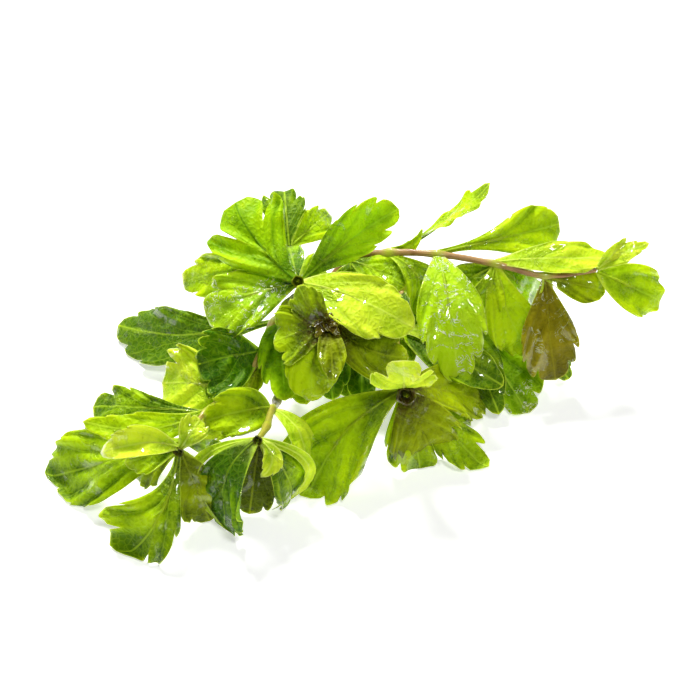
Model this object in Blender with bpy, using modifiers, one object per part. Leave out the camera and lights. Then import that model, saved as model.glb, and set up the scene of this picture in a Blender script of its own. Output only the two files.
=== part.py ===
"""A cutting of Mexican oak leaf, a soft-stemmed water plant, as it lies on a table.

One branching plant: a main stem that forks into seven leafy shoots. Leaves sit on the stems in
opposite pairs, each pair turned a quarter from the one before, and are lobed like an oak's.
Lengths below are millimetres: +X to the right, +Y to the back, +Z up from the table.
Angles are degrees: a heading is counted from +X towards +Y, and a rise from the horizontal.
"""

import math
import random

import bmesh
import bpy
import numpy as np

MM = 0.001
LEAF_THICKNESS = 0.6
GAP = 0.35
STALK_HALF_WIDTH = 1.0
NODE_SWELL = 1.25
# The middle of the plant's footprint, in the layout that the routes and tips below are given in.
FOOTPRINT_MIDDLE = np.array([3.0, -10.0, 0.0])

# Where a margin is notched, as shares of the leaf's length, and how deep, as shares of its half width.
NOTCHES = {
    "oak": ((0.45, 0.16), (0.62, 0.26), (0.80, 0.30)),
    "round": ((0.48, 0.26), (0.74, 0.34)),
    "young": ((0.60, 0.22), (0.80, 0.20)),
    "smooth": ((0.66, 0.05), (0.86, 0.06)),
    "blunt": ((0.55, 0.08), (0.72, 0.16), (0.88, 0.22)),
}
# How far before the first notch the first lobe starts, and a power that rounds the lobes.
FIRST_LOBE, LOBE_POWER = 0.13, 0.7
FORWARD_SWEEP = 0.4
WIDEST_AT = 0.48
# Powers that shape a blade's wedge before its widest place, and its round end after it.
WEDGE, BLUNT = 1.2, 0.6


def clear_scene():
    for thing in list(bpy.data.objects):
        bpy.data.objects.remove(thing)


def new_collection(name):
    collection = bpy.data.collections.new(name)
    bpy.context.scene.collection.children.link(collection)
    return collection


def new_material(name, colour, roughness):
    material = bpy.data.materials.new(name)
    material.use_nodes = True
    shader = material.node_tree.nodes["Principled BSDF"]
    shader.inputs["Base Color"].default_value = (*colour, 1.0)
    shader.inputs["Roughness"].default_value = roughness
    shader.inputs["Metallic"].default_value = 0.0
    return material


clear_scene()
PLANT = new_collection("mexican_oak_leaf")
FRESH = new_material("fresh_leaf", (0.28, 0.50, 0.01), 0.35)
OLIVE = new_material("old_leaf", (0.20, 0.24, 0.01), 0.35)
PALE = new_material("young_leaf", (0.45, 0.62, 0.05), 0.35)
BARK = new_material("stem_skin", (0.33, 0.19, 0.06), 0.45)


def unit(vector):
    return vector / np.linalg.norm(vector)


def direction(heading, rise):
    heading, rise = math.radians(heading), math.radians(rise)
    return np.array(
        [math.cos(rise) * math.cos(heading), math.cos(rise) * math.sin(heading), math.sin(rise)]
    )


def square_to(vector, axis):
    """What is left of a vector without its share along an axis, made a unit vector."""
    return unit(vector - (vector @ axis) * axis)


class Stem:
    """A stem's route through its nodes, thinning evenly from its foot to its tip."""

    def __init__(self, nodes, foot_radius, tip_radius):
        self.nodes = np.array(nodes, float)
        self.radii = np.linspace(foot_radius, tip_radius, len(nodes))

    def foot_of(self, node, towards, half_width):
        """Where something that grows from a node starts: just off the skin, on the side it grows to."""
        before, after = max(node - 1, 0), min(node + 1, len(self.nodes) - 1)
        axis = unit(self.nodes[after] - self.nodes[before])
        slant = abs(unit(towards) @ axis)
        reach = self.radii[node] * NODE_SWELL + GAP + half_width * slant
        return self.nodes[node] + square_to(towards, axis) * reach

    def smooth_route(self, steps=4):
        """Points and radii along a Catmull-Rom curve through the nodes, with a swelling at each."""
        first, last = 2 * self.nodes[0] - self.nodes[1], 2 * self.nodes[-1] - self.nodes[-2]
        knots = np.vstack([first, self.nodes, last])
        points, radii = [], []
        for i in range(len(self.nodes) - 1):
            p0, p1, p2, p3 = knots[i : i + 4]
            for t in np.arange(steps) / steps:
                bend = (2 * p0 - 5 * p1 + 4 * p2 - p3) * t**2 + (3 * p1 - p0 - 3 * p2 + p3) * t**3
                points.append(p1 + ((p2 - p0) * t + bend) / 2)
                swell = NODE_SWELL if t == 0 and i > 0 else 1.0
                radii.append(swell * np.interp(i + t, range(len(self.radii)), self.radii))
        return points + [self.nodes[-1]], radii + [self.radii[-1]]


STEMS = {}


def stem(name, nodes, foot_radius, tip_radius, grows_from=None):
    """A round stem along its nodes: a bevelled curve with filled ends. A shoot grows from a stem's
    node, given as the stem's name and the node's number, and starts just off its skin."""
    if grows_from:
        home, node = STEMS[grows_from[0]], grows_from[1]
        towards = np.array(nodes[0], float) - home.nodes[node]
        nodes = [home.foot_of(node, towards, foot_radius), *nodes]
    STEMS[name] = Stem(nodes, foot_radius, tip_radius)
    points, radii = STEMS[name].smooth_route()
    curve = bpy.data.curves.new(name, "CURVE")
    curve.dimensions = "3D"
    curve.bevel_depth = MM
    curve.bevel_resolution = 1
    curve.use_fill_caps = True
    spline = curve.splines.new("POLY")
    spline.points.add(len(points) - 1)
    for spot, point, radius in zip(spline.points, points, radii):
        spot.co = (*((point - FOOTPRINT_MIDDLE) * MM), 1.0)
        spot.radius = radius
    curve.materials.append(BARK)
    PLANT.objects.link(bpy.data.objects.new(name, curve))


def stations(kind):
    """Where a blade is cut across: at each notch, between the notches, and at its two ends."""
    cuts = [at for at, _ in NOTCHES[kind]]
    between = [(a + b) / 2 for a, b in zip(cuts, cuts[1:])]
    wedge = [cuts[0] * share for share in (0.0, 0.36, 0.72)]
    return np.array(sorted(wedge + cuts + between + [(cuts[-1] + 1) / 2 + 0.01, 1.0]))


def half_width(along, notches, width, widest, wedge):
    """Half a blade's width: a wedge up to its widest place and a blunt end, cut into round lobes by
    the root of a cosine whose zeros are the notches."""
    swell = np.sin(np.pi * along ** (math.log(0.5) / math.log(widest))).clip(0, 1)
    blade = swell ** np.where(along < widest, wedge, BLUNT)
    places, depths = zip(*notches)
    marks = [places[0] - FIRST_LOBE, *places, 1]
    count = np.interp(along, marks, [0, *np.arange(0.5, len(places)), len(places)])
    lobes = np.abs(np.cos(np.pi * count)) ** LOBE_POWER
    blade = blade * (1 - np.interp(along, places, depths) * (1 - lobes))
    return STALK_HALF_WIDTH + (width / 2 - STALK_HALF_WIDTH) * blade


def midrib(foot, tip, facing, arch, lean, bow, along):
    """Points and tangents of the cubic Bezier curve from foot to tip, raised by arch towards the face
    and by bow to the left, as shares of the chord. A lean over 0 puts the bend near the foot."""
    chord = tip - foot
    left = np.cross(facing, unit(chord))
    push = (facing * arch + left * bow) * np.linalg.norm(chord) * 4 / 3
    knots = foot, foot + chord / 3 + push * (1 + lean), tip - chord / 3 + push * (1 - lean), tip
    t = along[:, None]
    points = sum(c * (1 - t) ** (3 - i) * t**i * knots[i] for i, c in enumerate((1, 3, 3, 1)))
    slopes = sum(
        c * (1 - t) ** (2 - i) * t**i * (knots[i + 1] - knots[i]) for i, c in enumerate((1, 2, 1))
    )
    return points, slopes / np.linalg.norm(slopes, axis=1)[:, None], left


def blade_points(
    name, kind, foot, tip, faces, width, arch, lean, bow, cup, twist, widest, wedge, lop, cut,
    along, side
):
    """A blade's middle surface at each pair of along and side: the midrib, plus a step to the side
    that follows an arc of cup degrees in all, swept forward as the side veins are."""
    facing = square_to(direction(*faces), unit(tip - foot))
    points, tangents, left = midrib(foot, tip, facing, arch, lean, bow, along)
    sideways = left - (tangents @ left)[:, None] * tangents
    sideways /= np.linalg.norm(sideways, axis=1)[:, None]
    turn = np.radians(twist) * (along - WIDEST_AT)[:, None]
    sideways = sideways * np.cos(turn) + np.cross(tangents, sideways) * np.sin(turn)
    upwards = np.cross(tangents, sideways)

    # No leaf's two margins are notched equally deep.
    draw = random.Random(name)
    deep = [
        [(at, cut * depth * draw.uniform(0.7, 1.3)) for at, depth in NOTCHES[kind]]
        for _ in range(2)
    ]
    wholes = width * (1 - lop), width * (1 + lop)
    widths = [half_width(along, notches, whole, widest, wedge) for notches, whole in zip(deep, wholes)]
    reach = side * np.where(side < 0, *widths)
    bend = math.radians(cup) / width
    out = np.sin(bend * reach) / bend
    lift = (1 - np.cos(bend * reach)) / bend
    forward = FORWARD_SWEEP * np.abs(reach) * (1 - along**2)
    steps = sideways * out[:, None] + upwards * lift[:, None] + tangents * forward[:, None]
    return points + steps


def leaf(
    name,
    stem_name,
    node,
    tip,
    faces,
    width,
    kind="oak",
    arch=0.12,
    lean=0.0,
    bow=0.0,
    cup=20,
    twist=0,
    widest=WIDEST_AT,
    wedge=WEDGE,
    lop=0.0,
    cut=1.0,
    material=FRESH,
):
    """One leaf on a stem's node: a grid bent over its midrib, pressed flat where it meets the table,
    and given its thickness. faces is the heading and the rise that its upper side looks to."""
    home = STEMS[stem_name]
    tip = np.array(tip, float)
    chord = tip - home.nodes[node]
    facing = square_to(direction(*faces), unit(chord))
    leaving = chord / 3 + facing * arch * (1 + lean) * np.linalg.norm(chord) * 4 / 3
    foot = home.foot_of(node, leaving, STALK_HALF_WIDTH) + unit(leaving) * LEAF_THICKNESS / 2

    cuts = stations(kind)
    columns = 2 if kind == "young" else 4
    shape = bmesh.new()
    bmesh.ops.create_grid(shape, x_segments=columns, y_segments=len(cuts) - 1, size=1.0)
    grid = np.array([vertex.co for vertex in shape.verts])
    along = np.interp(grid[:, 1], np.linspace(-1, 1, len(cuts)), cuts)
    shares = along, -grid[:, 0]
    points = blade_points(
        name, kind, foot, tip, faces, width, arch, lean, bow, cup, twist, widest, wedge, lop, cut,
        *shares
    )
    points[:, 2] = np.maximum(points[:, 2], LEAF_THICKNESS / 2)
    for vertex, point in zip(shape.verts, (points - FOOTPRINT_MIDDLE) * MM):
        vertex.co = point
    mesh = bpy.data.meshes.new(name)
    shape.to_mesh(mesh)
    shape.free()
    mesh.materials.append(material)
    blade = bpy.data.objects.new(name, mesh)
    PLANT.objects.link(blade)
    skin = blade.modifiers.new("thickness", "SOLIDIFY")
    skin.thickness = LEAF_THICKNESS * MM
    skin.offset = 0.0


# The stems: the main stem's cut end lies at the back right, and the shoots fan out from its far end.

stem(
    "main_stem",
    [(60, 26, 1.6), (46, 31, 8), (33, 33.5, 15), (19, 31, 20), (4, 25.5, 24), (-11, 20, 27)],
    1.9,
    1.8,
)
stem(
    "right_shoot",
    [(0, 27.5, 37), (14, 25, 42), (30.5, 20.5, 45), (50, 16.5, 44), (67, 12.5, 42), (85, 14.5, 43)],
    1.5,
    0.9,
    grows_from=("main_stem", 5),
)
stem(
    "crown_shoot",
    [(-17, 13, 37), (-17.5, 6, 44), (-17.5, 2, 48)],
    1.4,
    1.0,
    grows_from=("main_stem", 5),
)
stem("back_shoot", [(-19, 31, 31), (-22, 38, 34)], 1.4, 1.0, grows_from=("main_stem", 5))
stem(
    "centre_shoot",
    [(-4, 8, 31), (-7, -13, 43.5), (-7.5, -18, 46)],
    1.4,
    1.0,
    grows_from=("main_stem", 4),
)
stem(
    "front_shoot",
    [(16, 7, 21), (17.5, -23, 26), (18, -29, 28)],
    1.4,
    1.0,
    grows_from=("main_stem", 3),
)
stem(
    "left_shoot",
    [
        (-26, 5.5, 27),
        (-30, -9, 26),
        (-38.5, -22.5, 22),
        (-48, -34.5, 22),
        (-53.5, -50, 25),
        (-54.5, -56, 27),
    ],
    1.5,
    1.0,
    grows_from=("main_stem", 5),
)
stem(
    "near_shoot",
    [(-23, 3, 15), (-25, -18, 12), (-26, -32.5, 22), (-27, -46.5, 28), (-29, -56, 32)],
    1.4,
    1.0,
    grows_from=("left_shoot", 1),
)

# The right shoot: leaves hang below it on the near side, and stand off it to the back.

leaf("right_leaf_1", "right_shoot", 1, (0, 19, 32), (-90, 20), 11, "young")
leaf("right_leaf_2", "right_shoot", 2, (48, 40, 60), (136, 55), 13, arch=-0.06, bow=0.02, twist=60)
leaf("right_leaf_3", "right_shoot", 2, (27, 17, 22), (-50, 50), 17, arch=0.3, lean=0.4)
leaf("right_leaf_4", "right_shoot", 3, (73, 36, 46), (-95, 40), 18, "smooth", bow=-0.01, widest=0.66)
leaf(
    "right_leaf_5", "right_shoot", 3, (37, -16.1, 20), (-85, 40), 24,
    arch=0.16, lean=0.4, widest=0.42, wedge=1.1,
)
leaf(
    "right_leaf_6", "right_shoot", 4, (90, 18.5, 44.6), (-95, 72), 13, "smooth",
    arch=0.04, material=PALE,
)
leaf(
    "right_leaf_7", "right_shoot", 4, (63, 6.5, 11.2), (-85, 35), 18, "blunt",
    arch=0.14, lean=0.4, bow=-0.06, wedge=0.9,
)
leaf(
    "right_leaf_8", "right_shoot", 5, (72, -3, 8), (-80, 30), 21,
    arch=0.12, bow=-0.04, widest=0.46, wedge=1.1, lop=-0.06, material=OLIVE,
)
leaf(
    "right_leaf_9", "right_shoot", 5, (89, 17.5, 34), (90, 30), 10, "smooth",
    arch=0.08, material=OLIVE,
)
leaf(
    "right_leaf_10", "right_shoot", 6, (108, 13, 30), (-80, 45), 17, "smooth",
    bow=-0.01, widest=0.46, wedge=0.8,
)
leaf("right_leaf_11", "right_shoot", 6, (101.5, 16.5, 53), (-70, 65), 7, "young", material=PALE)

# The crown shoot: four big leaves on its tip, over the middle of the plant.

leaf(
    "crown_leaf_1", "crown_shoot", 3, (-39, 29, 60), (-95, 40), 31, "round",
    arch=0.06, bow=0.06, widest=0.52, wedge=1.1, lop=-0.12, cut=1.2,
)
leaf(
    "crown_leaf_2", "crown_shoot", 2, (-49, -1, 36.2), (-100, 60), 23, "round",
    arch=0.132, wedge=1.0, lop=0.09,
)
leaf(
    "crown_leaf_3", "crown_shoot", 2, (16, 26, 60), (-60, 45), 19,
    arch=0.08, bow=0.04, cup=100, wedge=1.6, lop=0.15,
)
leaf(
    "crown_leaf_4", "crown_shoot", 3, (20, -18, 46), (-90, 65), 22, "round",
    cut=0.9, wedge=0.8, lop=-0.1, material=PALE,
)

# The back shoot.

leaf("back_leaf_1", "back_shoot", 2, (-24, 61, 42), (-90, 60), 17, "round", lop=0.1)
leaf("back_leaf_2", "back_shoot", 2, (-7.5, 55.5, 36), (-60, 50), 12, "young")
leaf("back_leaf_3", "back_shoot", 1, (-60, 33, 22), (-110, 50), 18, arch=0.14)

# The centre shoot, whose small leaves point to the near side.

leaf("centre_leaf_1", "centre_shoot", 3, (-24.5, -19, 40), (-100, 60), 20, "blunt", wedge=0.7)
leaf("centre_leaf_2", "centre_shoot", 3, (-17, -11, 57), (-120, 30), 12, "young", wedge=0.7)
leaf(
    "centre_leaf_3", "centre_shoot", 2, (-12.5, -31.5, 26), (-95, 30), 17, "smooth",
    arch=0.16, bow=-0.08, wedge=0.6,
)
leaf(
    "centre_leaf_4", "centre_shoot", 2, (18.5, -18, 32), (-80, 60), 20, "blunt",
    arch=0.05, bow=-0.12, wedge=0.7, material=OLIVE,
)
leaf(
    "centre_leaf_5", "centre_shoot", 3, (-5.5, -37, 40), (-80, 40), 9, "smooth", wedge=0.6,
    material=OLIVE,
)

# The front shoot: its biggest leaves lie on the table.

leaf(
    "front_leaf_1", "front_shoot", 3, (-15, -50, -10), (-110, 60), 29, "blunt",
    arch=0.14, bow=-0.08, wedge=1.0, lop=-0.06,
)
leaf(
    "front_leaf_2", "front_shoot", 3, (27, -39, -3), (-88, 50), 26,
    arch=0.18, widest=0.40, wedge=1.0, material=OLIVE,
)
leaf("front_leaf_3", "front_shoot", 2, (46, -38, -1), (-60, 60), 18, arch=-0.03, cut=1.3)
leaf(
    "front_leaf_4", "front_shoot", 3, (47, -14, 5), (-85, 70), 20, "blunt",
    arch=0.04, bow=0.055, wedge=0.8, material=OLIVE,
)
leaf("front_leaf_5", "front_shoot", 3, (17, -40, 50), (-90, 10), 22, material=PALE)
leaf("front_leaf_6", "front_shoot", 1, (38, 0, 16), (-90, 80), 9, "young", arch=0.25, material=PALE)
leaf("front_leaf_7", "front_shoot", 1, (52, -4, 10), (-80, 50), 18, arch=-0.04, material=OLIVE)

# Two leaves low on the main stem.

leaf("low_leaf_1", "main_stem", 1, (62, -11, -1), (-80, 75), 28, "blunt", bow=-0.06, lop=-0.05)
leaf("low_leaf_2", "main_stem", 2, (50, 17, 22), (-60, 60), 15, "young")

# The left shoot: it carries the longest leaves, which spread over the table.

leaf(
    "left_leaf_1", "left_shoot", 1, (-83, 29, 4), (-90, 55), 22, "blunt",
    arch=0.05, bow=0.07, widest=0.58, lop=0.1,
)
leaf("left_leaf_2", "left_shoot", 1, (-22, -24, 19), (-80, 40), 17, arch=0.16, wedge=0.7)
leaf(
    "left_leaf_3", "left_shoot", 2, (-51, -17.5, 28.5), (-90, 47), 25, "blunt",
    arch=0.145, lean=-0.4, cup=70, wedge=0.85, lop=0.14,
)
leaf("left_leaf_4", "left_shoot", 2, (-36, -19, 13), (-90, 20), 7, "young", material=OLIVE)
leaf(
    "left_leaf_5", "left_shoot", 3, (-64, -17, 19.6), (-100, 50), 26,
    arch=0.11, wedge=0.7, cut=0.9, material=PALE,
)
leaf("left_leaf_6", "left_shoot", 4, (-86, -43.5, 26.8), (-100, 60), 11, "young", arch=0.17, bow=0.16)
leaf(
    "left_leaf_7", "left_shoot", 4, (-87, -21, 12), (-100, 60), 16,
    arch=0.06, widest=0.64, cut=1.2, material=OLIVE,
)
leaf("left_leaf_8", "left_shoot", 5, (-102, -42, -1), (-95, 55), 24, "blunt", arch=0.08, bow=0.02)
leaf(
    "left_leaf_9", "left_shoot", 6, (-74, -76, -3), (-100, 60), 23, "round",
    arch=0.14, bow=0.16, widest=0.55, wedge=1.5, lop=-0.25,
)
leaf(
    "left_leaf_10", "left_shoot", 6, (-78, -61, 31), (-90, 60), 12, "young",
    arch=0.35, cup=120, material=PALE,
)
leaf("left_leaf_11", "left_shoot", 6, (-48, -61, 1), (-60, 30), 13, "young", arch=0.04, wedge=0.8)
leaf("left_leaf_12", "left_shoot", 6, (-72, -57, 22), (-100, 50), 11, "young")
leaf("left_leaf_13", "left_shoot", 5, (-43, -38, 10), (-60, 50), 8, "young", arch=0.0)

# The near shoot: its tip hangs over, and the leaves reach down to the table.

leaf(
    "near_leaf_1", "near_shoot", 3, (-49, -43, 21), (-90, 60), 14, "young",
    arch=0.25, cup=70, wedge=0.8, material=PALE,
)
leaf(
    "near_leaf_2", "near_shoot", 3, (-15, -46, 9), (-30, 60), 9, "young",
    arch=0.3, wedge=0.7, material=PALE,
)
leaf(
    "near_leaf_3", "near_shoot", 5, (-40, -67, 0), (-140, 40), 22, "blunt",
    arch=0.24, lean=0.5, wedge=0.7,
)
leaf(
    "near_leaf_4", "near_shoot", 5, (-33, -60, 1), (-90, 30), 18, "blunt",
    arch=-0.04, wedge=0.8, material=OLIVE,
)
leaf("near_leaf_5", "near_shoot", 5, (-21, -57, 2), (-40, 40), 15, "young", arch=0.2, wedge=0.8)
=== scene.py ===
import functools
import math
import random

import bpy
import numpy as np
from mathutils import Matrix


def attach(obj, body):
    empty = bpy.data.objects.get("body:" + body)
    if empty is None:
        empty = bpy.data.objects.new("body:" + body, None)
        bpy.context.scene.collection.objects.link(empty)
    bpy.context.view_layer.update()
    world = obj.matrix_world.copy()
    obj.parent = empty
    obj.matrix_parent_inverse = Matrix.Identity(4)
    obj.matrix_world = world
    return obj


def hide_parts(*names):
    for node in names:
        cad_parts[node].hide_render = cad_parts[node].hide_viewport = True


# The looks of a cutting of Mexican oak leaf, a soft water plant, lying wet on a pale table.
# Rows of stems and leaves are in millimetres in the plant's layout, and headings and rises in degrees:
# a heading is counted from +X towards +Y, a rise from the horizontal.

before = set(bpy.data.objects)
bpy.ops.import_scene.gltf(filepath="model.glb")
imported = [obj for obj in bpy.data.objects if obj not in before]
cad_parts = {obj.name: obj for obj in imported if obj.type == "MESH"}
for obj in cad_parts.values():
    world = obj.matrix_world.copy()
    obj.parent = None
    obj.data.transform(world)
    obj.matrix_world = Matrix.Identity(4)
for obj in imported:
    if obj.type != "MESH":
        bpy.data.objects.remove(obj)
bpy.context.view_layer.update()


# The stems. They are round, soft and about 3 mm thick, tan brown where they are old and green at the
# growing tips, with a swelling at each node. The main stem was cut; the shoots grow from its nodes.

MM = 0.001
FOOTPRINT_MIDDLE = np.array([3.0, -10.0, 0.0])
# One unit of a piece's UV map is this much of its surface. No point is nearer the table than the gap.
UV_SPAN = 50
TABLE_GAP = 0.02
STEM_RING = 20
STEM_ROW_STEP = 0.6
NODE_SWELL, NODE_LENGTH = 0.42, 2.4
FURROWS, WAVES = 0.035, 0.02
PALE_BARK, DARK_BARK, RED_BARK = (0.60, 0.38, 0.14, 1), (0.32, 0.15, 0.045, 1), (0.24, 0.09, 0.03, 1)
GREEN_BARK = (0.46, 0.52, 0.03, 1)
STREAK_SHARE, CRACK_SCALE = 0.7, 900.0


def unit(vector):
    return vector / np.linalg.norm(vector, axis=-1, keepdims=True)


def direction(heading, rise):
    heading, rise = math.radians(heading), math.radians(rise)
    return np.array(
        [math.cos(rise) * math.cos(heading), math.cos(rise) * math.sin(heading), math.sin(rise)]
    )


def square_to(vector, axis):
    """What is left of a vector without its share along an axis, made a unit vector."""
    return unit(vector - (vector @ axis) * axis)


def closed_skin(name, rings, skin, uv, **marks):
    """A closed mesh over rings of points, an array of rows by ring by xyz: quads join each ring to the
    next, and strips of quads between the two halves of the first and the last ring close the ends.
    uv is an array of rows by ring by two, and each mark a number at each point, which the skin reads."""
    rows, ring = rings.shape[:2]
    i, j = np.meshgrid(np.arange(rows - 1), np.arange(ring), indexing="ij")
    k = (j + 1) % ring
    walls = np.stack([i * ring + j, i * ring + k, (i + 1) * ring + k, (i + 1) * ring + j], -1)
    a = np.arange(ring // 2 - 1)
    cap = np.stack([a, ring - 1 - a, ring - 2 - a, a + 1], -1)
    faces = np.concatenate([walls.reshape(-1, 4), cap, cap[:, ::-1] + (rows - 1) * ring])
    points = (rings.reshape(-1, 3) - FOOTPRINT_MIDDLE) * MM

    mesh = bpy.data.meshes.new(name)
    mesh.vertices.add(len(points))
    mesh.vertices.foreach_set("co", points.ravel())
    mesh.loops.add(faces.size)
    mesh.loops.foreach_set("vertex_index", faces.ravel())
    mesh.polygons.add(len(faces))
    mesh.polygons.foreach_set("loop_start", np.arange(0, faces.size, 4))
    mesh.polygons.foreach_set("use_smooth", np.ones(len(faces), bool))
    mesh.update(calc_edges=True)
    layer = mesh.uv_layers.new(name="surface")
    layer.data.foreach_set("uv", uv.reshape(-1, 2)[faces.ravel()].ravel())
    for mark, values in marks.items():
        attribute = mesh.attributes.new(mark, "FLOAT", "POINT")
        attribute.data.foreach_set("value", np.broadcast_to(values, (rows, ring)).ravel())
    mesh.materials.append(skin)
    piece = bpy.data.objects.new(name, mesh)
    bpy.context.scene.collection.objects.link(piece)
    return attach(piece, "root")


def add_node(tree, kind, values=(), **settings):
    """A shader node with its settings; values gives its sockets, by name or number, each a plain
    value or the output that feeds it."""
    made = tree.nodes.new("ShaderNode" + kind)
    for setting, value in settings.items():
        setattr(made, setting, value)
    for socket, value in dict(values).items():
        if isinstance(value, bpy.types.NodeSocket):
            tree.links.new(value, made.inputs[socket])
        else:
            made.inputs[socket].default_value = value
    return made


def calc(tree, operation, *values):
    return add_node(tree, "Math", enumerate(values), operation=operation).outputs[0]


def ramp(tree, value, low, high, start=0.0, end=1.0):
    """A smooth step from start to end as the value goes from low to high."""
    values = {"Value": value, "From Min": low, "From Max": high, "To Min": start, "To Max": end}
    return add_node(tree, "MapRange", values, interpolation_type="SMOOTHSTEP").outputs[0]


def mixed(tree, factor, first, second):
    """Two colours mixed by a factor."""
    values = {0: factor, 6: first, 7: second}
    return add_node(tree, "Mix", values, data_type="RGBA", clamp_factor=True).outputs[2]


def mark_of(tree, name):
    return add_node(tree, "Attribute", attribute_name=name).outputs["Fac"]


def noise(tree, place, scale, detail=2.0, roughness=0.55, distortion=0.0):
    values = {
        "Vector": place, "Scale": scale, "Detail": detail,
        "Roughness": roughness, "Distortion": distortion,
    }
    return add_node(tree, "TexNoise", values).outputs["Fac"]


def new_skin(name, roughness, subsurface, reach):
    """A material with its shader ready, and the tree that the pattern nodes go into."""
    material = bpy.data.materials.new(name)
    material.use_nodes = True
    shader = material.node_tree.nodes["Principled BSDF"]
    shader.inputs["Roughness"].default_value = roughness
    shader.inputs["Subsurface Weight"].default_value = subsurface
    shader.inputs["Subsurface Radius"].default_value = reach
    shader.inputs["Subsurface Scale"].default_value = MM
    shader.inputs["IOR"].default_value = 1.42
    return material, material.node_tree, shader


def stem_skin():
    """Tan bark over green: lengthwise streaks and fine cracks, redder and darker in patches, yellow
    green at the nodes and towards the growing tips."""
    material, tree, shader = new_skin("wet_tan_stem", 0.35, 0.15, (1.2, 0.8, 0.3))
    place = add_node(tree, "TexCoord").outputs["Object"]
    along = add_node(tree, "UVMap", uv_map="surface").outputs[0]
    stretched = add_node(tree, "Mapping", {"Vector": along, "Scale": (1.0, 9.0, 1.0)}).outputs[0]
    streak = noise(tree, stretched, 6.0, 3.0)
    patch = noise(tree, place, 130.0, 2.0)
    colour = mixed(tree, ramp(tree, streak, 0.35, 0.65), DARK_BARK, PALE_BARK)
    colour = mixed(tree, ramp(tree, patch, 0.5, 0.72, 0.0, 0.6), colour, RED_BARK)
    green = calc(tree, "MAXIMUM", mark_of(tree, "youth"), mark_of(tree, "knot"))
    colour = mixed(tree, green, colour, GREEN_BARK)
    shader.inputs["Coat Weight"].default_value = 0.35
    shader.inputs["Coat Roughness"].default_value = 0.08
    tree.links.new(colour, shader.inputs["Base Color"])
    crack = noise(tree, place, CRACK_SCALE, 2.0)
    height = calc(tree, "ADD", calc(tree, "MULTIPLY", streak, STREAK_SHARE), crack)
    bump = add_node(tree, "Bump", {"Strength": 0.5, "Distance": 0.0003, "Height": height})
    tree.links.new(bump.outputs[0], shader.inputs["Normal"])
    return material


STEM_SKIN = stem_skin()
STEMS = {}


class Stem:
    """A stem's nodes in the layout, and its radius at each."""

    def __init__(self, nodes, foot_radius, tip_radius):
        self.nodes = np.array(nodes, float)
        self.radii = np.linspace(foot_radius, tip_radius, len(nodes))

    def axis(self, node):
        before, after = max(node - 1, 0), min(node + 1, len(self.nodes) - 1)
        return unit(self.nodes[after] - self.nodes[before])

    def under_skin(self, node, towards):
        """Where what grows from a node starts: inside the stem, on the side that it grows to."""
        return self.nodes[node] + square_to(towards, self.axis(node)) * self.radii[node] * 0.6


def smooth_route(nodes, q):
    """A Catmull-Rom curve through the nodes at the parameters q: at t between two nodes it is the cubic
    whose ends are the nodes and whose end slopes are half the steps over them."""
    knots = np.vstack([2 * nodes[0] - nodes[1], nodes, 2 * nodes[-1] - nodes[-2]])
    i = np.minimum(q.astype(int), len(nodes) - 2)
    t = (q - i)[:, None]
    p0, p1, p2, p3 = (knots[i + step] for step in range(4))
    bend = (2 * p0 - 5 * p1 + 4 * p2 - p3) * t**2 + (3 * p1 - p0 - 3 * p2 + p3) * t**3
    return p1 + ((p2 - p0) * t + bend) / 2


def stem(name, nodes, foot_radius, tip_radius, grows_from=None, youth=0.0):
    """A tube along the smooth route through the nodes. The radius thins evenly, swells by a bell curve
    at each inner node, has four low furrows, and closes in a quarter circle at a shoot's tip. youth
    says how green a shoot is, from 0 to 1; it is greenest at the tip."""
    if grows_from:
        nodes = [STEMS[grows_from[0]].nodes[grows_from[1]], *nodes]
    STEMS[name] = made = Stem(nodes, foot_radius, tip_radius)
    spans = np.linalg.norm(np.diff(made.nodes, axis=0), axis=1)
    q = np.linspace(0, len(spans), int(spans.sum() / STEM_ROW_STEP) + 12)
    route = smooth_route(made.nodes, q)

    length = np.concatenate([[0], np.linalg.norm(np.diff(route, axis=0), axis=1).cumsum()])
    at_nodes = np.interp(np.arange(1, len(spans)), q, length)
    knot = np.exp(-(((length[:, None] - at_nodes) / NODE_LENGTH) ** 2)).max(axis=1, initial=0)
    radius = np.interp(q, range(len(made.radii)), made.radii) * (1 + NODE_SWELL * knot)
    if grows_from:
        left = ((length[-1] - length) / tip_radius).clip(0, 1)
        radius = radius * np.sqrt(1 - (1 - left) ** 2 + 0.002)

    tangent = unit(np.gradient(route, axis=0))
    across = unit(np.cross(tangent, [0.05, 0.0, 1.0]))
    upright = np.cross(across, tangent)
    angle = np.arange(STEM_RING) * 2 * math.pi / STEM_RING
    ribs = 1 + FURROWS * np.cos(4 * angle) + WAVES * np.sin(length[:, None] * 0.9 + 2 * angle)
    out = across[:, None] * np.cos(angle)[:, None] + upright[:, None] * np.sin(angle)[:, None]
    rings = route[:, None] + out * (radius[:, None] * ribs)[..., None]
    rings[..., 2] = np.maximum(rings[..., 2], TABLE_GAP)
    uv = np.stack(np.broadcast_arrays(length[:, None] / UV_SPAN, angle / (2 * math.pi)), -1)
    greener = np.clip(youth + (length / length[-1] - 0.6) * youth, 0, 1)[:, None]
    piece = closed_skin(name + "_skin", rings, STEM_SKIN, uv, youth=greener, knot=0.9 * knot[:, None])
    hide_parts(name)


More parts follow.
